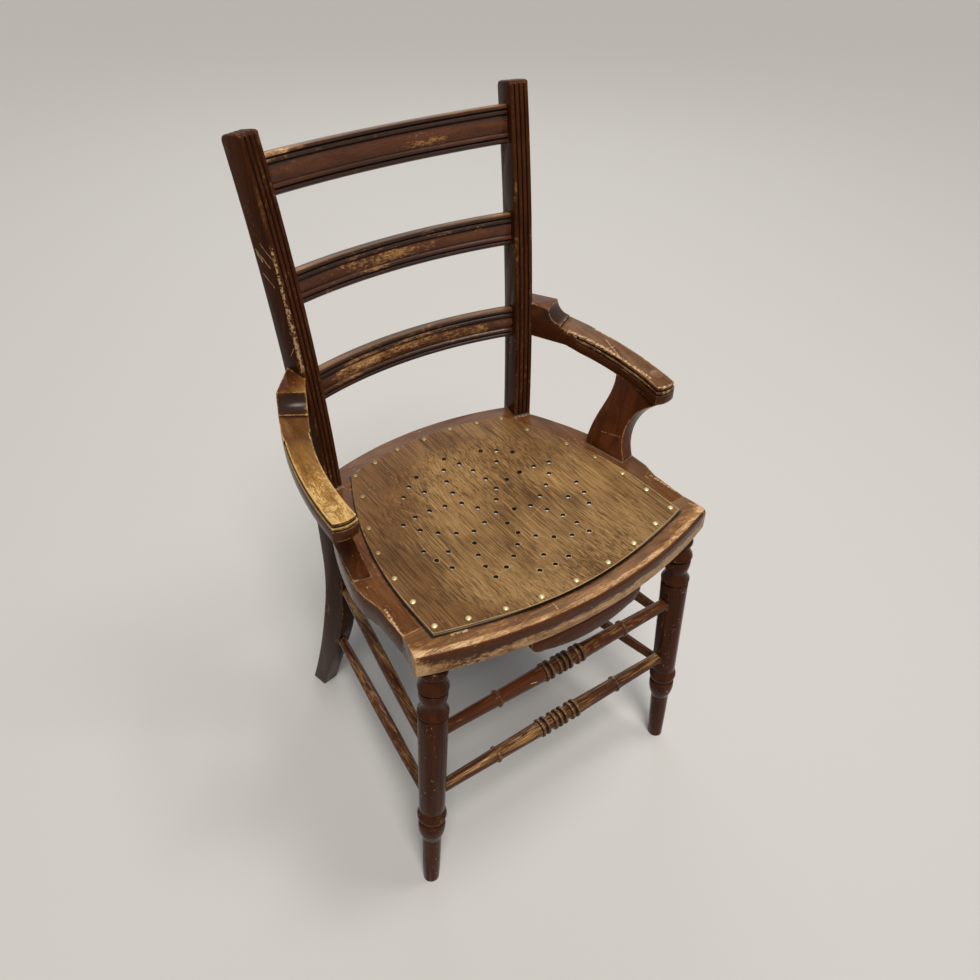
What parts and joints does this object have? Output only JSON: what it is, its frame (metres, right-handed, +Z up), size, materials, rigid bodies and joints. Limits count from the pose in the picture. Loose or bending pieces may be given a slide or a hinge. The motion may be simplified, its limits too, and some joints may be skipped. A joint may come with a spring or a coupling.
{
  "type": "ladderback armchair",
  "caption": "Wooden open armchair with a raked slat back, curved arms on sawn supports, turned front legs and a dished, perforated plywood seat",
  "frame": {"origin": "middle of the chair's box, on the floor that its four feet stand on", "axes": "+X to the right as seen from in front of the chair, -Y to the front, +Z up"},
  "size_m": [0.473, 0.4306, 0.8506],
  "materials": {
    "back_wood": "dark red-brown stain under worn semi-gloss varnish",
    "frame_wood": "red-brown stain under worn semi-gloss varnish, edges rubbed to bare wood",
    "turned_wood": "red-brown stain under semi-gloss varnish, small chips",
    "seat_plywood": "tan-brown varnished veneer with fine dark grain"
  },
  "bodies": {
    "root": {"rear_leg_left": "back_wood", "rear_leg_right": "back_wood", "top_slat": "back_wood", "middle_slat": "back_wood", "bottom_slat": "back_wood", "front_rail": "frame_wood", "front_apron": "frame_wood", "side_rail_left": "frame_wood", "side_rail_right": "frame_wood", "back_rail": "frame_wood", "arm_left": "frame_wood", "arm_right": "frame_wood", "arm_support_left": "frame_wood", "arm_support_right": "frame_wood", "front_leg_left": "turned_wood", "front_leg_right": "turned_wood", "front_stretcher_upper": "turned_wood", "front_stretcher_lower": "turned_wood", "side_stretcher_left_upper": "turned_wood", "side_stretcher_left_lower": "turned_wood", "side_stretcher_right_upper": "turned_wood", "side_stretcher_right_lower": "turned_wood", "rear_stretcher": "turned_wood", "seat_panel": "seat_plywood"}
  },
  "joints": []
}
